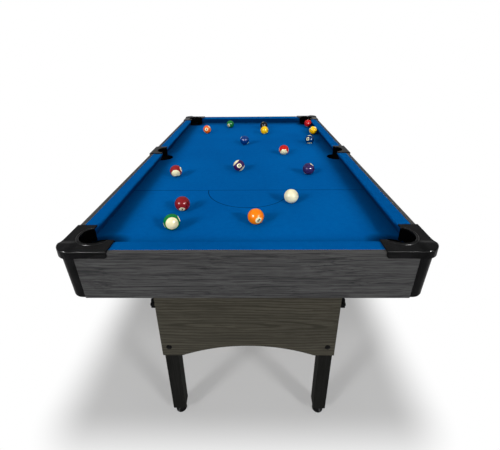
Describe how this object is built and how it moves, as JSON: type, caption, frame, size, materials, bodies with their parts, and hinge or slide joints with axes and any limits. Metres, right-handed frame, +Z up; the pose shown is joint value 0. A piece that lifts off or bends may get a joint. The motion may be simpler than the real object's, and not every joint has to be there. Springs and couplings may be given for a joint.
{
  "type": "folding pool table",
  "caption": "Folding pocket pool table: blue cloth bed and cushions, grey wood aprons, black pocket caps, drop cups, hinged leg frames with clamp knobs, and a set of numbered balls.",
  "frame": {"origin": "on the floor, under the middle of the table", "axes": "+Z up, +Y along the table's length towards the far end of the picture, +X towards its right side"},
  "size_m": [0.996, 1.852, 0.8131],
  "materials": {
    "blue_cloth": "napped wool-blend billiard cloth",
    "grey_oak_laminate": "satin grey wood-grain laminate on board",
    "brown_oak_laminate": "satin grey-brown wood-grain laminate on board",
    "black_moulding": "semi-gloss moulded black plastic",
    "black_leg": "black foil-wrapped board",
    "bare_board": "raw fibreboard",
    "pine": "planed softwood",
    "cushion_rubber": "natural rubber",
    "black_steel": "black powder coat",
    "zinc_steel": "zinc plated",
    "black_bolt": "black oxide",
    "ball_cue": "polished cast resin",
    "ball_1": "polished cast resin",
    "ball_2": "polished cast resin",
    "ball_3": "polished cast resin",
    "ball_4": "polished cast resin",
    "ball_5": "polished cast resin",
    "ball_6": "polished cast resin",
    "ball_7": "polished cast resin",
    "ball_8": "polished cast resin",
    "ball_9": "polished cast resin",
    "ball_10": "polished cast resin",
    "ball_11": "polished cast resin",
    "ball_12": "polished cast resin",
    "ball_13": "polished cast resin",
    "ball_14": "polished cast resin",
    "ball_15": "polished cast resin"
  },
  "bodies": {
    "table": {"bed_board": "bare_board", "bed_cloth": "blue_cloth", "rail_boards": "pine", "cushion_rubbers": "cushion_rubber", "cushion_cloths": "blue_cloth", "apron_near": "grey_oak_laminate", "apron_far": "grey_oak_laminate", "apron_left": "grey_oak_laminate", "apron_right": "grey_oak_laminate", "corner_posts": "black_moulding", "corner_cap_near_left": "black_moulding", "corner_cap_near_right": "black_moulding", "corner_cap_far_left": "black_moulding", "corner_cap_far_right": "black_moulding", "side_cap_left": "black_moulding", "side_cap_right": "black_moulding", "corner_cup_near_left": "black_moulding", "corner_cup_near_right": "black_moulding", "corner_cup_far_left": "black_moulding", "corner_cup_far_right": "black_moulding", "side_cup_left": "black_moulding", "side_cup_right": "black_moulding", "bed_ledgers": "pine", "bed_stringers": "pine", "hinge_boards": "pine", "leg_brackets": "black_steel", "bracket_ears": "black_steel", "pivot_bolts": "zinc_steel"},
    "leg_frame_near": {"legs_near": "black_leg", "leg_panel_near": "brown_oak_laminate", "leg_stretcher_near": "black_leg", "panel_bolts_near": "black_bolt"},
    "leg_frame_far": {"legs_far": "black_leg", "leg_panel_far": "brown_oak_laminate", "leg_stretcher_far": "black_leg", "panel_bolts_far": "black_bolt"},
    "clamp_knob_near_left": {"clamp_knob_near_left": "black_moulding"},
    "levelling_foot_near_left": {"levelling_foot_near_left": "black_moulding"},
    "clamp_knob_near_right": {"clamp_knob_near_right": "black_moulding"},
    "levelling_foot_near_right": {"levelling_foot_near_right": "black_moulding"},
    "clamp_knob_far_left": {"clamp_knob_far_left": "black_moulding"},
    "levelling_foot_far_left": {"levelling_foot_far_left": "black_moulding"},
    "clamp_knob_far_right": {"clamp_knob_far_right": "black_moulding"},
    "levelling_foot_far_right": {"levelling_foot_far_right": "black_moulding"},
    "ball_cue": {"ball_cue": "ball_cue"},
    "ball_1": {"ball_1": "ball_1"},
    "ball_2": {"ball_2": "ball_2"},
    "ball_3": {"ball_3": "ball_3"},
    "ball_4": {"ball_4": "ball_4"},
    "ball_5": {"ball_5": "ball_5"},
    "ball_6": {"ball_6": "ball_6"},
    "ball_7": {"ball_7": "ball_7"},
    "ball_8": {"ball_8": "ball_8"},
    "ball_9": {"ball_9": "ball_9"},
    "ball_10": {"ball_10": "ball_10"},
    "ball_11": {"ball_11": "ball_11"},
    "ball_12": {"ball_12": "ball_12"},
    "ball_13": {"ball_13": "ball_13"},
    "ball_14": {"ball_14": "ball_14"},
    "ball_15": {"ball_15": "ball_15"}
  },
  "joints": [
    {"name": "leg_fold_near", "type": "hinge", "parent": "table", "child": "leg_frame_near", "pos_m": [0, -0.7995, 0.696], "axis": [1, 0, 0], "range_deg": [0, 90]},
    {"name": "leg_fold_far", "type": "hinge", "parent": "table", "child": "leg_frame_far", "pos_m": [0, 0.7995, 0.696], "axis": [-1, 0, 0], "range_deg": [0, 90]},
    {"name": "knob_turn_near_left", "type": "hinge", "parent": "leg_frame_near", "child": "clamp_knob_near_left", "pos_m": [-0.2898, -0.7995, 0.526], "axis": [-1, 0, 0], "continuous": true},
    {"name": "knob_turn_near_right", "type": "hinge", "parent": "leg_frame_near", "child": "clamp_knob_near_right", "pos_m": [0.2898, -0.7995, 0.526], "axis": [1, 0, 0], "continuous": true},
    {"name": "knob_turn_far_left", "type": "hinge", "parent": "leg_frame_far", "child": "clamp_knob_far_left", "pos_m": [-0.2898, 0.7995, 0.526], "axis": [-1, 0, 0], "continuous": true},
    {"name": "knob_turn_far_right", "type": "hinge", "parent": "leg_frame_far", "child": "clamp_knob_far_right", "pos_m": [0.2898, 0.7995, 0.526], "axis": [1, 0, 0], "continuous": true},
    {"name": "foot_turn_near_left", "type": "hinge", "parent": "leg_frame_near", "child": "levelling_foot_near_left", "pos_m": [-0.2635, -0.7995, 0.03], "axis": [0, 0, 1], "continuous": true},
    {"name": "foot_turn_near_right", "type": "hinge", "parent": "leg_frame_near", "child": "levelling_foot_near_right", "pos_m": [0.2635, -0.7995, 0.03], "axis": [0, 0, 1], "continuous": true},
    {"name": "foot_turn_far_left", "type": "hinge", "parent": "leg_frame_far", "child": "levelling_foot_far_left", "pos_m": [-0.2635, 0.7995, 0.03], "axis": [0, 0, 1], "continuous": true},
    {"name": "foot_turn_far_right", "type": "hinge", "parent": "leg_frame_far", "child": "levelling_foot_far_right", "pos_m": [0.2635, 0.7995, 0.03], "axis": [0, 0, 1], "continuous": true},
    {"name": "ball_roll_cue", "type": "slide", "parent": "table", "child": "ball_cue", "axis": [1, 0, 0], "range_m": [-0.565, 0.256]},
    {"name": "ball_roll_1", "type": "slide", "parent": "table", "child": "ball_1", "axis": [1, 0, 0], "range_m": [-0.165, 0.133]},
    {"name": "ball_roll_2", "type": "slide", "parent": "table", "child": "ball_2", "axis": [1, 0, 0], "range_m": [-0.378, 0.164]},
    {"name": "ball_roll_3", "type": "slide", "parent": "table", "child": "ball_3", "axis": [1, 0, 0], "range_m": [-0.251, 0.001]},
    {"name": "ball_roll_4", "type": "slide", "parent": "table", "child": "ball_4", "axis": [1, 0, 0], "range_m": [-0.128, 0.149]},
    {"name": "ball_roll_5", "type": "slide", "parent": "table", "child": "ball_5", "axis": [1, 0, 0], "range_m": [-0.103, 0.384]},
    {"name": "ball_roll_6", "type": "slide", "parent": "table", "child": "ball_6", "axis": [1, 0, 0], "range_m": [-0.266, 0.093]},
    {"name": "ball_roll_7", "type": "slide", "parent": "table", "child": "ball_7", "axis": [1, 0, 0], "range_m": [-0.186, 0.635]},
    {"name": "ball_roll_8", "type": "slide", "parent": "table", "child": "ball_8", "axis": [1, 0, 0], "range_m": [-0.093, 0.318]},
    {"name": "ball_roll_9", "type": "slide", "parent": "table", "child": "ball_9", "axis": [1, 0, 0], "range_m": [-0.133, 0.001]},
    {"name": "ball_roll_10", "type": "slide", "parent": "table", "child": "ball_10", "axis": [1, 0, 0], "range_m": [-0.164, 0.062]},
    {"name": "ball_roll_11", "type": "slide", "parent": "table", "child": "ball_11", "axis": [1, 0, 0], "range_m": [-0.59, 0.231]},
    {"name": "ball_roll_12", "type": "slide", "parent": "table", "child": "ball_12", "axis": [1, 0, 0], "range_m": [-0.364, 0.128]},
    {"name": "ball_roll_13", "type": "slide", "parent": "table", "child": "ball_13", "axis": [1, 0, 0], "range_m": [-0.121, 0.165]},
    {"name": "ball_roll_14", "type": "slide", "parent": "table", "child": "ball_14", "axis": [1, 0, 0], "range_m": [-0.179, 0.103]},
    {"name": "ball_roll_15", "type": "slide", "parent": "table", "child": "ball_15", "axis": [1, 0, 0], "range_m": [-0.091, 0.265]}
  ]
}
